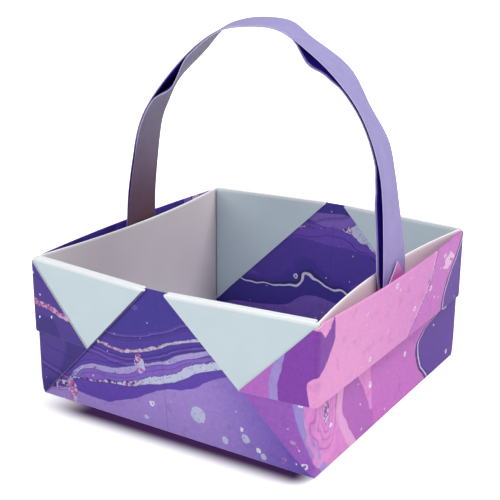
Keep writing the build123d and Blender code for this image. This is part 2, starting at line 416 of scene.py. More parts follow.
class Marbling:
    """Print side of the sheet: bands of ink that run with its length, pulled about as if they float.

    Places are in millimetres on the flat sheet. Each step takes the ink below it and lays its own on it.
    """

    def __init__(self, sizes, colours):
        self.half = sizes.base_side / 2 / MM
        self.collar = self.half + (sizes.wall_height + sizes.collar_depth) / MM
        self.colours = colours
        maker = self.maker = Maker("marbled_print")
        place = self.place = sheet_place(maker)
        along, across = self.along, self.across = maker.two_ways(place)

        # Slow currents bend the bands, quick ones ruffle them
        slow = self.slow = maker.noise(place, 0.021, 1.0, 0.4)
        quick = self.quick = maker.noise(place, 0.075, 2.0, 0.5)
        ripple = self.ripple = maker.noise(maker.vector("MULTIPLY", place, (0.5, 1.0, 1.0)), 0.22, 1.0, 0.5)
        frayed = self.frayed = maker.noise(place, 0.55, 2.0, 0.6)
        self.swell = maker.noise(place, 0.07, 0.0, 0.5)
        self.tongues = maker.noise(maker.vector("MULTIPLY", place, (0.4, 1.0, 1.0)), 0.06, 1.0, 0.4)
        self.flow = across + (slow - 0.5) * 34.0 + (quick - 0.5) * 9.0 + (ripple - 0.5) * 2.0
        self.near = across + (ripple - 0.5) * 1.6 + (frayed - 0.5) * 0.5
        self.beside = along + (ripple - 0.5) * 2.0 + (quick - 0.5) * 3.0

        # Grain that fills the veins: red flecks torn apart, or dark specks on pale ink
        grain, self.grain_tone = maker.cells(place, 1.5)
        self.torn = maker.cells(maker.stirred(place, 1.2, 1.0, 0.9), 0.95)[0].step(0.30, 0.36)
        dark = maker.mix(0.5, colours.plum, colours.line)
        rest = maker.mix(self.grain_tone.step(0.5, 0.6), colours.mist, dark)
        self.flecked = maker.mix(self.torn, colours.fleck, rest)
        specks = (1 - grain.step(0.18, 0.28)) * self.grain_tone.step(0.3, 0.34)
        self.mottled = maker.mix(specks * 0.75, colours.mist, colours.line)

    def from_line(self, points):
        return self.near - drawn(self.maker, self.along, points)

    def lay(self, ink, share, other):
        return self.maker.mix(share, ink, other)

    def blend(self, one, other, share):
        """An ink mixed from two."""
        return self.maker.mix(share, getattr(self.colours, one), getattr(self.colours, other))

    def vein(self, ink, gap, half, body):
        """A band of its own ink with a dark outline; gap is the distance from its middle."""
        outside = gap.absolute() - half
        ink = self.lay(ink, 1 - outside.step(-0.1, 0.1), body)
        return self.lay(ink, outside.band(0.0, 0.11, 0.06) * 0.7, self.colours.line)

    def hairlines(self, ink, gap, places, tone, strength=0.7):
        """Thin lines beside a drawn one: (distance from it, half width)."""
        for at, half in places:
            ink = self.lay(ink, gap.band(at, half, 0.07) * strength, tone)
        return ink

    def whole_sheet(self):
        """Bands, tongues and veins: cool inks on one half, warm ones on the other."""
        maker, inks, flow = self.maker, self.colours, self.flow
        indigo, violet, lavender = inks.indigo, inks.violet, inks.lavender
        orchid, rose, plum = inks.orchid, inks.rose, inks.plum
        cool = crisp_bands(maker, flow, [
            (-BAND_REACH, violet), (-134, indigo), (-121, lavender), (-115, violet), (-101, indigo),
            (-74, indigo), (-49, lavender), (-41, violet), (-20, indigo), (-4, violet), (9, indigo),
            (30, lavender), (34, violet), (55, indigo), (82, violet), (96, indigo),
        ])
        warm = crisp_bands(maker, flow, [
            (-BAND_REACH, plum), (-104, orchid), (-96, rose), (-82, plum), (-70, orchid), (-52, lavender),
            (-46, plum), (-36, rose), (-20, orchid), (-6, plum), (2, orchid), (13, rose), (24, plum),
            (34, orchid), (52, rose), (66, plum),
        ])
        turn = (self.along + (self.quick - 0.5) * 60.0 + (self.slow - 0.5) * 40.0).step(14.0, 40.0)
        turn = turn.step(0.30, 0.32) * 0.5 + turn.step(0.68, 0.70) * 0.5
        ink = maker.mix(turn, cool, warm)
        ink = self.lay(ink, self.tongues.step(0.575, 0.582) * 0.6, maker.mix(turn, lavender, rose))
        ink = self.lay(ink, (1 - self.tongues.step(0.405, 0.412)) * 0.65, maker.mix(turn, indigo, plum))
        body = maker.mix(self.swell.step(0.5, 0.56), self.flecked, self.mottled)
        for middle, half in VEINS:
            wide = (self.swell - 0.3) * (half * 2.6)
            ink = self.vein(ink, flow + (self.frayed - 0.5) * 1.4 - middle, wide, body)
            ink = self.hairlines(ink, flow - middle, ((-3.6, 0.16), (-2.9, 0.12), (3.4, 0.16)), inks.line)
        for middle in DOUBLE_LINES:
            ink = self.hairlines(ink, flow - middle, ((-0.65, 0.36),), inks.line, 0.9)
            ink = self.hairlines(ink, flow - middle, ((0.0, 0.26),), inks.spark, 0.85)
        return ink

    def front_wall(self, ink):
        """Wavy veins between a deep top and a flat violet foot."""
        maker, inks, frayed = self.maker, self.colours, self.frayed
        foot, low = self.from_line(FOOT_LINE), self.from_line(LOW_VEIN)
        middle, top = self.from_line(MIDDLE_VEIN), self.from_line(TOP_VEIN)
        front = maker.mix((top + 4.5).past(1.5), inks.indigo, self.blend("indigo", "violet", 0.25))
        front = self.lay(front, (top - 2.2).past(), self.blend("indigo", "violet", 0.6))
        front = self.lay(front, middle.past(), self.blend("violet", "lavender", 0.55))
        front = self.lay(front, low.past(), self.blend("indigo", "violet", 0.75))
        to_corner = (self.along - self.across * 0.4).step(26.0, 60.0)
        light, deep = self.blend("lavender", "spark", 0.12), self.blend("indigo", "violet", 0.8)
        front = self.lay(front, foot.past(), maker.mix(to_corner, light, deep))

        dark = ((-2.4, 0.13), (-3.1, 0.3), (-4.6, 0.12), (1.6, 0.16), (2.7, 0.25), (4.3, 0.15))
        front = self.hairlines(front, top, dark, inks.line, 0.6)
        front = self.hairlines(front, top, ((-3.6, 0.15), (2.1, 0.16), (3.6, 0.2)), inks.lavender, 0.35)
        front = self.hairlines(front, middle, ((1.9, 0.12), (-1.9, 0.14)), inks.line, 0.45)
        wide = self.along.step(-26.0, 6.0)
        body = maker.mix(wide * 0.6, maker.mix(0.35, self.flecked, inks.fleck), self.mottled)
        front = self.vein(front, top, 0.45 + (frayed - 0.5) * 0.8, body)
        left_end = 1 - self.along.step(-31.0, -24.0)
        fleck_share = left_end.most(frayed.step(0.60, 0.62) * 0.8)
        body = maker.mix(fleck_share, self.blend("lavender", "mist", 0.4), self.flecked)
        front = self.vein(front, middle, 0.9 - wide * 0.4 + (self.swell - 0.5) * 1.4, body)
        body = maker.mix(wide.step(0.55, 0.75), self.flecked, self.mottled)
        front = self.vein(front, low, wide + 0.2 + (frayed - 0.5) * 0.9, body)

        for u, v, radius in FRONT_BLOTS:
            ragged = maker.vector("ADD", self.place, maker.scaled(frayed, 1.1))
            off = maker.size(maker.vector("SUBTRACT", ragged, (u + 0.5, v + 0.5, 0.5)))
            front = self.lay(front, (1 - off.step(radius - 0.1, radius)) * 0.9, self.mottled)
        grains = maker.mix(self.grain_tone.step(0.40, 0.45), inks.fleck, inks.mist)
        for u, v, half_u, half_v in FLECKED_PATCHES:
            ragged = maker.vector("ADD", self.place, maker.scaled(frayed, 2.2))
            off = maker.vector("SUBTRACT", ragged, (u + 1.1, v + 1.1, 1.1))
            off = maker.size(maker.vector("MULTIPLY", off, (1 / half_u, 1 / half_v, 0.0)))
            front = self.lay(front, (1 - off.step(0.9, 1.0)) * self.torn * 0.9, grains)
        is_front = (-self.near - 31.0).past() * (-self.across - self.along.absolute()).past()
        return self.lay(ink, is_front, front)

    def side_wall(self, ink):
        """Wide patches of pink, orchid and plum on the side wall and its collar."""
        maker, inks = self.maker, self.colours
        stripe = self.from_line(EAR_STRIPE)
        on_collar = self.along.step(60.0, 90.0)
        low, high = self.blend("violet", "orchid", 0.35), self.blend("violet", "orchid", 0.6)
        side = maker.mix(on_collar, low, high)
        side = self.lay(side, (stripe + 1.0).past(0.3), self.blend("lavender", "mist", 0.25))
        low, high = self.low_side(side, stripe), self.collar_side(side, stripe)
        side = self.lay(low, (self.along - 74.0).past(), high)

        bend = self.from_line(DOUBLE_LINE)
        side = self.lay(side, bend.past(), self.blend("indigo", "plum", 0.35))
        side = self.hairlines(side, bend, ((-0.7, 0.55), (1.1, 0.16)), inks.line, 0.95)
        side = self.hairlines(side, bend, ((0.2, 0.2),), inks.spark, 0.9)
        strokes = maker.noise(maker.vector("MULTIPLY", self.place, (1.0, 0.6, 1.0)), 0.5, 1.0, 0.5)
        flat = maker.vector("MULTIPLY", self.place, (1.0, 0.8, 0.0))
        splash = maker.size(maker.vector("SUBTRACT", flat, (105.5, 22.0, 0.0))) + (strokes - 0.5) * 9.0
        side = self.lay(side, (1 - splash.step(2.3, 2.45)) * 0.85, self.blend("rose", "spark", 0.5))
        is_side = (self.beside - 31.0).past() * (self.along - self.across.absolute()).past()
        return self.lay(ink, is_side, side)

    def low_side(self, side, stripe):
        """The wall below the collar: nested rings at the corner, a stripe and a wedge."""
        maker = self.maker
        low = self.lay(side, (stripe - 1.6).past(0.5), self.blend("orchid", "rose", 0.35))
        nest = maker.vector("SUBTRACT", maker.stirred(self.place, 0.18, 1.0, 5.0), (54.5, -31.0, 2.5))
        nest = maker.size(maker.vector("MULTIPLY", nest, (0.45, 0.85, 0.0)))
        dark, light = self.blend("orchid", "plum", 0.5), self.blend("orchid", "rose", 0.6)
        low = self.hairlines(low, nest, ((2.1, 0.12), (3.0, 0.1), (4.2, 0.13)), dark)
        low = self.hairlines(low, nest, ((2.5, 0.2), (3.6, 0.25), (5.2, 0.4)), light, 0.8)
        low = self.lay(low, (1 - (nest + (self.frayed - 0.5) * 1.6).step(1.2, 1.3)) * 0.9, self.flecked)
        wall_stripe = self.from_line(WALL_STRIPE)
        low = self.lay(low, (wall_stripe + 1.7).past(), self.blend("rose", "mist", 0.2))
        low = self.lay(low, (wall_stripe - 1.5).past(), self.blend("plum", "orchid", 0.55))
        beyond = (self.near + 10.2).past()
        in_wedge = self.from_line(WEDGE).past() * (1 - beyond) * (self.along - 43.0).past()
        low = self.lay(low, in_wedge, self.blend("orchid", "rose", 0.45))
        return self.lay(low, beyond, self.blend("plum", "orchid", 0.78))

    def collar_side(self, side, stripe):
        """The collar: plum at the corner, a rose patch and a dotted line."""
        maker, inks = self.maker, self.colours
        patch, dotted = self.from_line(COLLAR_PATCH), self.from_line(DOTTED_LINE)
        collar = self.lay(side, (stripe - 1.0).past(), self.blend("plum", "orchid", 0.06))
        drop = (self.along - 107.4) * 0.8 - (self.near + 36.5).absolute()
        collar = self.lay(collar, drop.past(), inks.rose)
        fading = (self.across + self.along * 0.5).step(20.0, 70.0) * 0.6
        collar = self.lay(collar, patch.past(), maker.mix(fading, inks.rose, inks.orchid))
        collar = self.lay(collar, dotted.past(), self.blend("plum", "orchid", 0.85))
        collar = self.hairlines(collar, dotted, ((-0.35, 0.3),), self.blend("rose", "spark", 0.4), 0.75)
        dots = dotted.band(0.35, 0.28, 0.08) * self.torn * 0.9
        return self.lay(collar, dots, self.blend("plum", "line", 0.6))

    def far_ears(self, ink):
        """Deep ink with faint lines and one thin flecked band."""
        maker, inks = self.maker, self.colours
        deep = maker.mix(self.tongues.step(0.52, 0.54) * 0.3, self.blend("indigo", "line", 0.6), inks.violet)
        away = self.along + (self.across + 45.0) * 0.15 + (self.ripple - 0.5) * 2.5
        dark = ((-45.5, 0.3), (-47.2, 0.16), (-52.0, 0.16), (-106.0, 0.25), (-90.0, 0.2))
        deep = self.hairlines(deep, away, dark, inks.line)
        deep = self.hairlines(deep, away, ((-46.3, 0.2),), inks.lavender, 0.3)
        body = maker.mix(0.45, self.flecked, inks.fleck)
        deep = self.vein(deep, away + 99.5, 0.85 + (self.frayed - 0.5) * 0.9, body)
        is_ear = (-self.beside - 33.0).past() * (-self.near - 20.0).past()
        return self.lay(ink, is_ear * (-self.along - self.across.absolute()).past(), deep)

    def spots(self, ink):
        """Small clouds of red flecks, blots with dark specks, rings and dots."""
        maker, place = self.maker, self.place
        cloud = maker.noise(maker.vector("MULTIPLY", place, (1.1, 0.8, 1.0)), 0.11, 1.0, 0.5)
        cloud = cloud + (self.frayed - 0.5) * 0.14
        pale = self.blend("lavender", "mist", 0.5)
        grains = maker.mix(self.grain_tone.step(0.40, 0.45), self.colours.fleck, pale)
        ink = self.lay(ink, cloud.step(0.76, 0.77) * self.torn * 0.8, grains)
        bent = maker.stirred(place, 0.35, 2.0, 2.2)
        for scale, size, keep in BLOTS:
            blot, kept = maker.cells(bent, scale)
            blot = (1 - blot.step(size, size + 0.004)) * kept.step(keep, keep + 0.02)
            ink = self.lay(ink, blot * 0.95, self.mottled)
        wobbled = maker.stirred(place, 0.9, 1.0, 1.0)
        for scale, inner, outer, keep in RINGS:
            spot, kept = maker.cells(wobbled, scale)
            ring = spot.step(inner - 0.01, inner) * (1 - spot.step(outer, outer + 0.012))
            ink = self.lay(ink, ring * kept.step(keep, keep + 0.02) * 0.9, self.colours.spark)
        return ink

    def wear_and_crease_shade(self, ink, press):
        """Wear along the folds, a painted shade line in the middle crease, printed grain and a little
        unevenness.
        """
        maker, inks = self.maker, self.colours
        out_u, out_v = self.along.absolute(), self.across.absolute()
        upright = out_u.step(self.half - 0.5, self.half + 0.5) * 10.0  # no wear on the upright edges
        folds = (out_u - self.half).absolute().least((out_u - self.collar).absolute())
        folds = folds.least((out_v - self.half).absolute() + upright)
        folds = folds.least((out_u - out_v).absolute() * 0.7)
        ink = self.lay(ink, (1 - folds.step(0.04, 0.22)) * self.frayed * 0.28, inks.spark)
        # Painted shade: a thin dark line in the crease along the sheet's middle.
        ink = self.lay(ink, (1 - out_u.step(0.04, 0.16)) * 0.3, inks.line)
        worn = maker.noise(self.place, 0.9, 3.0, 0.7)
        unevenness = (press - 0.5) * 0.8 + (worn - 0.5) * 0.8 + 0.12
        ink = maker.mix(unevenness, ink, inks.spark, "OVERLAY")
        washed = maker.noise(self.place, 0.3, 3.0, 0.6)
        return self.lay(ink, washed.step(0.52, 0.75) * 0.22, self.blend("line", "plum", 0.5))


def marbled_print(sizes, colours):
    """Glossy printed side of the sheet."""
    marbling = Marbling(sizes, colours)
    maker, place = marbling.maker, marbling.place
    ink = marbling.whole_sheet()
    for lay in (marbling.front_wall, marbling.side_wall, marbling.far_ears, marbling.spots):
        ink = lay(ink)
    press = maker.noise(place, 3.2, 2.0, 0.7)
    return maker.finish(
        marbling.wear_and_crease_shade(ink, press), press * 0.12 + 0.40, fibre_bump(maker, place), 0.02 * MM,
        Specular_IOR_Level=0.35,
    )


def pale_reverse(sizes, colours):
    """Plain pale back of the sheet, with the cloudy look of bulk paper, painted warm light on the side walls
    and a painted highlight along the rim folds.
    """
    half = sizes.base_side / 2 / MM
    rim_fold = half + sizes.wall_height / MM
    maker = Maker("pale_reverse")
    place = sheet_place(maker)
    cloud = maker.noise(place, 0.12, 3.0, 0.5)
    fine = maker.noise(place, 4.0, 2.0, 0.7)
    shade = (cloud - 0.5) * 0.5 + (fine - 0.5) * 0.35 + 0.5
    along, across = maker.two_ways(place)
    out_u, out_v = along.absolute(), across.absolute()
    # Painted light: the back of the side walls takes the warm cream.
    on_side = out_u.step(half - 1.0, half) * (1 - out_v.step(half - 1.0, half + 0.5))
    tone = maker.mix(on_side, colours.reverse, colours.painted_warm_light)
    dark = maker.mix(0.12, tone, (0.0, 0.0, 0.0, 1.0))
    tone = maker.mix(shade, dark, maker.mix(0.15, tone, colours.core))
    # Painted highlight, partly also fold wear: the back turns nearly white along the rim folds.
    rim = (out_u - rim_fold).absolute().least((out_v - rim_fold).absolute())
    tone = maker.mix((1 - rim.step(0.2, 0.9)) * 0.8, tone, colours.core)
    return maker.finish(
        tone, fine * 0.1 + 0.62, fibre_bump(maker, place), 0.025 * MM, Specular_IOR_Level=0.25,
    )


def cut_edge(colours):
    """White core of the paper where it is cut."""
    maker = Maker("cut_edge")
    place = sheet_place(maker)
    fine = maker.noise(place, 5.0, 2.0, 0.7)
    shade = tuple(value * 0.86 for value in colours.core[:3]) + (1.0,)
    return maker.finish(maker.mix(fine, shade, colours.core), 0.75, Specular_IOR_Level=0.2)


def strip_fibre(name, outer, inner, outer_end, shaded_inner_end, lip=None):
    """Dyed paper with fibres that show. Its outer and inner layers each have a tone for the top of the arch
    and one for the ends;
    the inner layer's tones are painted shade, darkest at the ends. The lip is the tone beside the long edges,
    except on the left leg, whose edges keep the painted shade."""
    maker = Maker(name)
    place = sheet_place(maker)
    along, across = maker.two_ways(place)
    # Towards the ends the inner layer darkens to its painted shade.
    low = along.absolute().step(28.0, 80.0)
    inner, outer = maker.mix(low, inner, shaded_inner_end), maker.mix(low, outer, outer_end)
    tone = maker.mix(across.step(-0.6, 0.6), inner, outer)
    if lip is not None:
        tone = maker.mix(across.absolute().step(11.7, 12.1) * along.step(-56.0, -44.0), tone, lip)
    cloud = maker.noise(place, 0.2, 3.0, 0.5)
    fibres = maker.noise(maker.vector("MULTIPLY", place, (0.35, 2.4, 1.0)), 1.7, 3.0, 0.65)
    shade = (cloud - 0.5) * 0.8 + (fibres - 0.5) * 2.2 + 0.5
    return maker.finish(
        maker.scaled(tone, shade * 0.3 + 0.88), fibres * 0.15 + 0.55, fibre_bump(maker, place), 0.03 * MM,
        Specular_IOR_Level=0.3,
    )


# Folding

NEARLY = 1.001  # keeps a cut that lies on a limit inside it


class Folding:
    """Where each point of the flat sheet lies once the basket is folded.

    The sheet lies as a diamond about the base. One quarter is worked out and mirrored: a is the
    distance from the middle towards a side wall, c the one towards the front or back wall.
    """

    crease = 0.16 * MM  # flat paper given to one turn, each way from its crease
    corner = 0.3 * MM  # radius of the upright corner of the box
    settle = 2.5 * MM  # height in which the layers of an ear part from each other
    ease = 3.0 * MM  # flat paper near an upright edge that takes up the layers' thickness
    diagonal_lap = 0.16 * MM  # the same as the crease, for the slanting turns
    point_lift = 0.3 * MM  # from the collar's foot to the fold of the sheet's point
    point_room = 0.2 * MM  # how far the sheet's point leans off the layer beside it
    push_ease = 1.2 * MM  # rounds the place where the front starts to lean out less

    def __init__(self, sizes):
        self.half = sizes.base_side / 2
        self.height = sizes.wall_height
        self.pitch = sizes.pitch
        self.skin = sizes.paper / 2
        self.push = sizes.rim_push
        self.bow = sizes.side_bow
        self.collar_bow = sizes.collar_bow
        self.room = sizes.pocket_room
        self.collar_foot = self.height - sizes.collar_depth
        self.hem_top = self.height - sizes.hem_drop
        self.point_fold = self.collar_foot + self.point_lift
        down = self.hem_top - self.point_fold
        hem = self.hem_top - self.collar_foot
        self.reach = sizes.base_side + 2 * self.height
        side = [0.0, self.height, self.height + sizes.collar_depth]
        side += [side[-1] + hem, side[-1] + hem + down]
        self.side_rows = side
        self.side_end = self.reach - self.half
        self.apex = self.point_fold + self.side_end - side[-1]
        self.front_rows = [0.0, self.height, 2 * self.height]

    def share(self, flat, crease):
        """0 to 1 across the turn of a crease, below 0 before it and above 1 after it."""
        return (flat - crease + self.crease) / (2 * self.crease)

    def rows(self, flat, creases, arcs, end):
        """Profile of turns joined by straight layers, as (outwards, up)."""
        last = None
        for crease, arc in zip(creases, arcs):
            share = self.share(flat, crease)
            start = on_arc(*arc, 0.0)
            if share < 0:
                run = (flat - last[0]) / (crease - self.crease - last[0])
                return between(last[1][0], start[0], run), between(last[1][1], start[1], run)
            if share <= 1:
                return on_arc(*arc, share)
            last = crease + self.crease, on_arc(*arc, 1.0)
        goal, finish = end
        run = (flat - last[0]) / (goal - last[0])
        return between(last[1][0], finish[0], run), between(last[1][1], finish[1], run)

    def base(self, flat):
        """Place on the base, with the paper near its edge drawn in for the turn."""
        near = self.half - self.ease
        if flat <= near:
            return flat
        return between(near, self.half - self.corner, (flat - near) / (self.ease - self.crease))

    def side_profile(self, flat, bow):
        half, pitch = self.half, self.pitch
        rim = half - self.bow * bow
        collar = half - self.bow * bow * self.collar_foot / self.height + pitch
        hem = collar + pitch + (self.room - pitch) * bow
        hem_rim = half + 2 * pitch + self.collar_bow * bow
        rise = (self.point_fold - self.collar_foot) / (self.hem_top - self.collar_foot)
        point = hem + (hem_rim - hem) * rise - pitch
        arcs = [
            (half - self.corner, self.skin + self.corner, self.corner, -90, 0),
            (rim + pitch / 2, self.height, pitch / 2, 180, 0),
            ((collar + hem) / 2, self.collar_foot, (hem - collar) / 2, 180, 360),
            (hem_rim - pitch / 2, self.hem_top, pitch / 2, 0, 180),
            (point - pitch / 2, self.point_fold, pitch / 2, 0, -180),
        ]
        end = self.side_end, (point - pitch - self.point_room, self.apex)
        return self.rows(flat, self.side_rows, arcs, end)

    def front_profile(self, flat, radius):
        """Wall, turn over the rim and inner layer, as (outwards, up); radius is that of the rim turn."""
        pitch = self.pitch
        lift = self.skin + pitch
        inner = -pitch / 2 - radius
        arcs = [
            (radius - pitch / 2 - self.corner, self.skin + self.corner, self.corner, -90, 0),
            (-pitch / 2, self.height, radius, 0, 180),
            (inner - self.corner, lift + self.corner, self.corner, 0, -90),
        ]
        end = self.side_end, (-self.half + self.point_room, lift)
        return self.rows(flat, self.front_rows, arcs, end)

    def pushed(self, x, z):
        """How far the front stands out at a place on it."""
        return self.push * soft_least(self.half - x, min(z, self.height), self.push_ease) / self.height

    def settled(self, z):
        return eased(z / self.settle)

    def side_point(self, a, c):
        """Side wall and collar, and their run round the corner on to the ear."""
        half, pitch = self.half, self.pitch
        round_corner = self.share(c, half)
        bow = max(1 - (c / half) ** 2, 0.0)
        out, z = self.side_profile(a - half, bow)
        out -= half
        depth = 2 * pitch * self.settled(z)
        bend_y = half + depth - self.corner
        if round_corner < 0:
            near = half - self.ease
            y = c if c <= near else between(near, bend_y, (c - near) / (self.ease - self.crease))
            return half + out, y, z
        if round_corner <= 1:
            x, y = on_arc(half - self.corner, bend_y, self.corner + out, 0, 90, round_corner)
            return x, y, z
        run = c - half
        x = half - run
        if run < self.ease:
            x = between(half - self.corner, half - self.ease, (run - self.crease) / (self.ease - self.crease))
        return x, half + depth + out + self.pushed(x, z), z

    def front_point(self, a, c):
        """Front wall and its inner layer, and the ear's inner layer folded back on it."""
        half, pitch = self.half, self.pitch
        turn = self.share(a, half)
        swing = math.radians(between(-90, 90, min(max(turn, 0.0), 1.0)))
        full = pitch + pitch / 2 * math.sin(swing)
        rough_z = self.front_profile(c - half, full)[1]
        radius = pitch / 2 + (full - pitch / 2) * self.settled(rough_z)
        out, z = self.front_profile(c - half, radius)
        edge = half - 2 * pitch * self.settled(z)
        near = half - self.ease
        if turn < 0:
            x = a if a <= near else between(near, edge, (a - near) / (self.ease - self.crease))
        elif turn <= 1:
            x = edge + pitch / 2 * math.cos(swing) * self.settled(z)
        else:
            run = a - half
            x = half - run
            if run < self.ease:
                x = between(edge, near, (run - self.crease) / (self.ease - self.crease))
        floor = c - half > self.front_rows[2] + self.crease
        lean = 0.0 if floor else self.pushed(x, z)
        return x, half + out + lean, z

    def ear_edge(self, a, c):
        """Slanting turn that joins an ear's two layers."""
        half, pitch = self.half, self.pitch
        rise = (a + c) / 2 - half
        turn = (c - a) / math.sqrt(2) / self.diagonal_lap
        swing = math.radians(90 * turn)
        bulge = pitch / 2 * math.cos(swing) * self.settled(rise) / math.sqrt(2)
        depth = (1.5 * pitch - pitch / 2 * math.sin(swing)) * self.settled(rise)
        x, z = half - rise - bulge, max(rise - bulge, self.skin)
        return x, half + depth + self.pushed(x, z), z

    def place(self, u, v):
        a, c = abs(u), abs(v)
        half = self.half
        if a < half - self.crease and c < half - self.crease:
            x, y, z = self.base(a), self.base(c), self.skin
        elif min(a, c) > half + self.crease and abs(c - a) / math.sqrt(2) <= self.diagonal_lap * NEARLY:
            x, y, z = self.ear_edge(a, c)
        elif c > a:
            x, y, z = self.front_point(a, c)
        else:
            x, y, z = self.side_point(a, c)
        return Vector((math.copysign(x, u), math.copysign(y, v), z))


DOUBLES = 0.004 * MM  # points nearer than this become one
BESIDE_TURN = 0.35 * MM  # width of the flat cell on each side of a turn
SMOOTH_BELOW = math.radians(20)  # edges flatter than this are shaded smooth


def only(piece):
    bpy.ops.object.select_all(action="DESELECT")
    piece.select_set(True)
    bpy.context.view_layer.objects.active = piece


def cut(mesh, where, point, normal):
    """Cuts the faces whose middle passes the test, as the bisect tool does."""
    for face in mesh.faces:
        face.select_set(where(face.calc_center_median()))
    bmesh.update_edit_mesh(bpy.context.object.data)
    bpy.ops.mesh.bisect(plane_co=point, plane_no=normal)


def everywhere(middle):
    return True


def crease_cuts(at, reach, turns=5):
    """Places of the cuts across one turn, with a narrow flat beside it each way."""
    inside = [at + reach * (2 * step / turns - 1) for step in range(turns + 1)]
    return [at - reach - BESIDE_TURN] + inside + [at + reach + BESIDE_TURN]


def paper_thickness(piece, thickness, materials):
    for material in materials:
        piece.data.materials.append(material)
    solid = piece.modifiers.new("paper", "SOLIDIFY")
    solid.thickness = thickness
    solid.offset = 0
    solid.material_offset = 1
    solid.material_offset_rim = 2
    only(piece)
    bpy.ops.object.modifier_apply(modifier=solid.name)
    bpy.ops.object.shade_smooth_by_angle(angle=SMOOTH_BELOW)


def name_flat_places(piece):
    """UV map: each point's place on the flat sheet."""
    chart = piece.data.uv_layers.active or piece.data.uv_layers.new(name="flat_sheet")
    chart.name = "flat_sheet"
    for loop in piece.data.loops:
        flat = piece.data.vertices[loop.vertex_index].co
        chart.data[loop.index].uv = (0.5 + flat.x / SHEET_SPAN, 0.5 + flat.y / SHEET_SPAN)


class BASKET_OT_sheet(bpy.types.Operator):
    """Cuts one square sheet along its creases and folds it to the basket"""
    bl_idname = "basket.sheet"
    bl_label = "Folded basket"

    def execute(self, context):
        sizes, colours = context.scene.basket_sizes, context.scene.basket_colours
        fold = Folding(sizes)
        bpy.ops.object.select_all(action="DESELECT")
        bpy.ops.mesh.primitive_plane_add(size=fold.reach * math.sqrt(2), rotation=(0, 0, math.pi / 4))
        piece = context.object
        piece.name = "marbled_sheet"
        bpy.ops.object.transform_apply(location=True, rotation=True, scale=True)
        bpy.ops.object.mode_set(mode="EDIT")
        mesh = bmesh.from_edit_mesh(piece.data)

        def in_front(middle): return abs(middle.y) >= abs(middle.x)
        def in_side(middle): return abs(middle.x) >= abs(middle.y)
        count = int(fold.reach / sizes.cell)
        for step in range(-count, count + 1):
            cut(mesh, everywhere, (step * sizes.cell, 0, 0), (1, 0, 0))
            cut(mesh, everywhere, (0, step * sizes.cell, 0), (0, 1, 0))
        for slope in (1, -1):
            for aside in crease_cuts(0, fold.diagonal_lap):
                normal = Vector((-slope, 1, 0)).normalized()
                cut(mesh, everywhere, normal * aside, normal)
        for sign in (1, -1):
            for row in fold.side_rows:
                for at in crease_cuts(fold.half + row, fold.crease):
                    cut(mesh, in_side, (sign * at, 0, 0), (1, 0, 0))
            for row in fold.front_rows:
                for at in crease_cuts(fold.half + row, fold.crease):
                    cut(mesh, in_front, (0, sign * at, 0), (0, 1, 0))
            for at in crease_cuts(fold.half, fold.crease):
                cut(mesh, in_front, (sign * at, 0, 0), (1, 0, 0))
                cut(mesh, in_side, (0, sign * at, 0), (0, 1, 0))
        bpy.ops.mesh.select_all(action="SELECT")
        bpy.ops.mesh.remove_doubles(threshold=DOUBLES)
        bpy.ops.object.mode_set(mode="OBJECT")

        name_flat_places(piece)
        for vertex in piece.data.vertices:
            vertex.co = fold.place(vertex.co.x, vertex.co.y)
        piece.data.update()
        paper_thickness(piece, sizes.paper, [
            pale_reverse(sizes, colours), marbled_print(sizes, colours), cut_edge(colours),
        ])
        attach(piece, "root")
        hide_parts("folded_basket")
        return {"FINISHED"}


# Edges of the handle's outer layer, across and up, as shares of the base's side
FRONT_EDGE = [
    (-0.488, 0.294), (-0.480, 0.400), (-0.473, 0.490), (-0.464, 0.584), (-0.442, 0.699),
    (-0.410, 0.824), (-0.344, 0.930), (-0.220, 1.061), (-0.104, 1.142), (0.000, 1.166),
    (0.113, 1.163), (0.205, 1.115), (0.300, 1.045), (0.381, 0.960), (0.432, 0.869), (0.464, 0.774),
    (0.478, 0.675), (0.486, 0.550), (0.491, 0.417), (0.488, 0.294),
]
BACK_EDGE = [
    (-0.489, 0.294), (-0.486, 0.420), (-0.485, 0.498), (-0.478, 0.597), (-0.449, 0.792),
    (-0.414, 0.880), (-0.364, 0.963), (-0.262, 1.059), (-0.187, 1.134), (-0.113, 1.165),
    (-0.028, 1.177), (0.068, 1.170), (0.136, 1.128), (0.271, 1.045), (0.347, 0.932), (0.410, 0.838),
    (0.437, 0.738), (0.456, 0.636), (0.479, 0.507), (0.485, 0.421), (0.489, 0.294),
]
# How far the inner layer stands off the outer one along the front edge: (share of the strip's
# length, millimetres)
OPENING = [
    (0.0, 0.1), (0.10, 0.1), (0.14, 0.3), (0.285, 0.2), (0.325, 2.4), (0.385, 0.15), (0.45, -0.1),
    (0.565, -0.1), (0.605, 2.2), (0.635, 1.1), (0.665, 0.4), (0.735, 0.35), (0.77, 0.5), (0.80, 1.2),
    (0.83, 1.7), (0.92, 1.4), (0.955, 0.6), (1.0, 0.1),
]


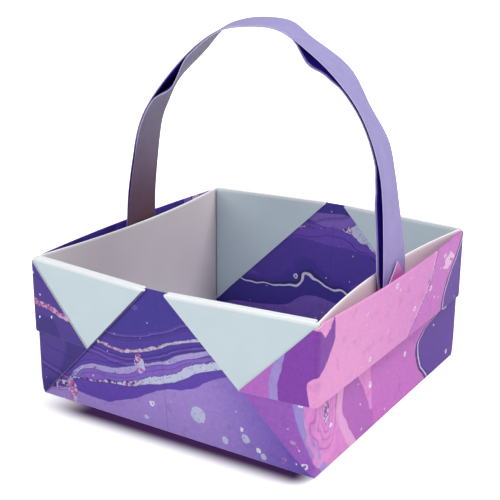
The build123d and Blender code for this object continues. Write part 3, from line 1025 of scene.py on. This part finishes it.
class BASKET_OT_handle(bpy.types.Operator):
    """Folds the long strip in two and bends it to the handle's arch"""
    bl_idname = "basket.handle"
    bl_label = "Handle"

    def execute(self, context):
        sizes, handle = context.scene.basket_sizes, context.scene.basket_handle
        width, side, pitch = handle.strip_width, sizes.base_side, sizes.pitch
        edges = []
        for share, depth in ((FRONT_EDGE, -width / 2), (BACK_EDGE, width / 2)):
            points = [Vector((x * side, depth, z * side)) for x, z in share]
            edges.append(smooth_line(points, handle.steps))
        front, back = edges
        strip_length = sum((b - a).length for a, b in zip(front, front[1:]))

        bpy.ops.object.select_all(action="DESELECT")
        bpy.ops.mesh.primitive_grid_add(x_subdivisions=handle.steps, y_subdivisions=2, size=1)
        piece = context.object
        piece.name = "handle_strip"
        bpy.ops.transform.resize(value=(strip_length, 2 * width, 1))
        bpy.ops.object.transform_apply(location=True, rotation=True, scale=True)
        bpy.ops.object.mode_set(mode="EDIT")
        mesh = bmesh.from_edit_mesh(piece.data)
        turn = 0.3 * MM  # flat paper given to the long fold, each way from it
        places = [-width * 0.75, -width / 2, -width / 4, width / 4, width / 2, width * 0.75]
        for at in places + crease_cuts(0, turn):
            cut(mesh, everywhere, (0, at, 0), (0, 1, 0))
        bpy.ops.mesh.select_all(action="SELECT")
        bpy.ops.mesh.remove_doubles(threshold=DOUBLES)
        bpy.ops.object.mode_set(mode="OBJECT")
        name_flat_places(piece)

        for vertex in piece.data.vertices:
            share = vertex.co.x / strip_length + 0.5
            at = min(max(round(share * handle.steps), 0), handle.steps)
            one, other = front[at], back[at]
            before, after = max(at - 2, 0), min(at + 2, handle.steps)
            run = (front[after] - front[before]) + (back[after] - back[before])
            outward = Vector((-run.z, 0, run.x)).normalized()
            flat = vertex.co.y
            from_fold = abs(flat) / width
            gap = along_list(OPENING, share) * MM * from_fold ** 1.5
            if abs(flat) <= turn:
                swing = math.radians(90 * flat / turn)
                spot = other + Vector((0, pitch / 2 * math.cos(swing), 0))
                spot = spot + outward * (pitch / 2 * (math.sin(swing) - 1))
            else:
                spot = other.lerp(one, (abs(flat) - turn) / (width - turn))
                if flat < 0:
                    spot = spot - outward * (pitch + gap)
            vertex.co = spot
        piece.data.update()
        colours = context.scene.basket_colours
        # The inner layer's two tones are painted shade.
        layers = [colours.lilac, colours.shade, colours.lilac_end, colours.painted_shade_end]
        paper_thickness(piece, sizes.paper, [
            # The faces in the gap between the layers take the painted gap shade, lighter only beside the long
            # edges.
            strip_fibre("strip_painted_gap_shade", *[colours.painted_gap_shade] * 4, colours.lilac_edge),
            strip_fibre("lilac_fibre", *layers),
            strip_fibre("strip_edge", *layers, colours.lilac_edge),
        ])
        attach(piece, "root")
        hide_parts("handle")
        return {"FINISHED"}


def lamp(name, place, target, power, tint, size):
    """Round soft lamp that shines at the target."""
    data = bpy.data.lights.new(name, "AREA")
    data.shape, data.size = "DISK", size
    data.energy, data.color = power, tint
    made = bpy.data.objects.new(name, data)
    made.location = place
    made.rotation_mode = "QUATERNION"
    made.rotation_quaternion = (Vector(target) - Vector(place)).to_track_quat("-Z", "Y")
    bpy.context.scene.collection.objects.link(made)


def floor_white():
    """Pale floor, white where the camera sees it, with a painted contact shadow: a dark band under the
    basket's front edge.
    """
    pale, dark = (0.86, 0.86, 0.87, 1.0), (0.09, 0.035, 0.12, 1.0)
    maker = Maker("floor_white")
    seen = maker.node("ShaderNodeLightPath", {}, out="Is Camera Ray")
    x, y = maker.two_ways(maker.node("ShaderNodeTexCoord", {}, out="Object"))
    # Painted contact shadow: in front of the basket's front edge the floor takes the dark colour and loses
    # most of its white glow.
    painted_contact_shadow = (y - x * 0.02).step(-0.0465, -0.0405) * (1 - y.step(-0.020, 0.0))
    painted_contact_shadow = painted_contact_shadow * x.step(-0.038, -0.022) * (1 - x.step(0.034, 0.041))
    far = x.absolute().most(y.absolute()).step(0.06, 0.30)
    maker.feed(maker.shader.inputs["Emission Color"], (1.0, 1.0, 1.0, 1.0))
    maker.feed(maker.shader.inputs["Emission Strength"], seen * ((1 - painted_contact_shadow) * 0.62 + far * 0.4))
    return maker.finish(maker.mix(painted_contact_shadow * seen, pale, dark), 0.9, Specular_IOR_Level=0.0)


def room_light(strength):
    """Even light from all round, behind which the camera sees plain white."""
    world = bpy.data.worlds.new("room")
    world.use_nodes = True
    nodes, links = world.node_tree.nodes, world.node_tree.links
    room = nodes["Background"]
    room.inputs["Color"].default_value = (1.0, 0.985, 0.975, 1.0)
    room.inputs["Strength"].default_value = strength
    white = nodes.new("ShaderNodeBackground")
    white.inputs["Color"].default_value = (1, 1, 1, 1)
    path, pick = nodes.new("ShaderNodeLightPath"), nodes.new("ShaderNodeMixShader")
    links.new(path.outputs["Is Camera Ray"], pick.inputs[0])
    links.new(room.outputs[0], pick.inputs[1])
    links.new(white.outputs[0], pick.inputs[2])
    links.new(pick.outputs[0], nodes["World Output"].inputs["Surface"])
    return world


def photo_camera(lens):
    """Camera that looks down on the basket's front right corner."""
    turn, drop, tilt = -0.5621, 0.3169, 0.0043  # radians
    place = Vector((0.1302, -0.2102, 0.1149))
    data = bpy.data.cameras.new("camera")
    data.sensor_width = 36
    data.lens = lens
    data.clip_start = 0.01
    forward = Vector((math.sin(turn) * math.cos(drop), math.cos(turn) * math.cos(drop), -math.sin(drop)))
    right = Vector((math.cos(turn), -math.sin(turn), 0))
    up = right.cross(forward)
    right, up = right * math.cos(tilt) + up * math.sin(tilt), up * math.cos(tilt) - right * math.sin(tilt)
    camera = bpy.data.objects.new("camera", data)
    camera.matrix_world = Matrix.Translation(place) @ Matrix((right, up, -forward)).transposed().to_4x4()
    return camera


class BASKET_OT_stage(bpy.types.Operator):
    """Lays the pale floor and sets the lamps and the camera"""
    bl_idname = "basket.stage"
    bl_label = "Stage"

    def execute(self, context):
        settings = context.scene.basket_stage
        bpy.ops.object.select_all(action="DESELECT")
        bpy.ops.mesh.primitive_plane_add(size=6)
        floor = context.object
        floor.name = "floor"
        floor.data.materials.append(floor_white())

        middle = (0, 0, 0.03)
        lamp("key", (0.30, 0.30, 0.85), middle, settings.key_power, (1.0, 0.985, 0.96), 0.45)
        lamp("fill", (-0.25, -0.85, 0.45), middle, settings.fill_power, (0.97, 0.985, 1.0), 0.7)
        lamp("side", (0.90, -0.15, 0.30), middle, settings.side_power, (1.0, 0.96, 0.96), 0.5)
        context.scene.world = room_light(settings.sky_light)
        context.scene.camera = photo_camera(settings.lens)
        context.scene.collection.objects.link(context.scene.camera)
        context.scene.view_settings.view_transform = "Standard"
        return {"FINISHED"}


class BASKET_PT_panel(bpy.types.Panel):
    """Sizes, colours and steps of the basket"""
    bl_idname = "BASKET_PT_panel"
    bl_label = "Paper basket"
    bl_space_type = "VIEW_3D"
    bl_region_type = "UI"
    bl_category = "Basket"

    def draw(self, context):
        scene = context.scene
        for group in (scene.basket_sizes, scene.basket_handle, scene.basket_colours, scene.basket_stage):
            box = self.layout.box()
            for key in group.bl_rna.properties.keys():
                if key not in ("rna_type", "name"):
                    box.prop(group, key)
        for operator in STEPS:
            self.layout.operator(operator.bl_idname)


STEPS = (BASKET_OT_stage, BASKET_OT_sheet, BASKET_OT_handle)
GROUPS = {
    "basket_sizes": BasketSizes, "basket_handle": HandleSizes,
    "basket_colours": PaperColours, "basket_stage": StageSettings,
}


def register():
    for made in tuple(GROUPS.values()) + STEPS + (BASKET_PT_panel,):
        bpy.utils.register_class(made)
    for name, group in GROUPS.items():
        setattr(bpy.types.Scene, name, PointerProperty(type=group))


def unregister():
    for name in GROUPS:
        delattr(bpy.types.Scene, name)
    for made in (BASKET_PT_panel,) + STEPS[::-1] + tuple(GROUPS.values()):
        bpy.utils.unregister_class(made)


def main():
    register()
    bpy.ops.basket.stage()
    bpy.ops.basket.sheet()
    bpy.ops.basket.handle()


if __name__ == "__main__":
    main()
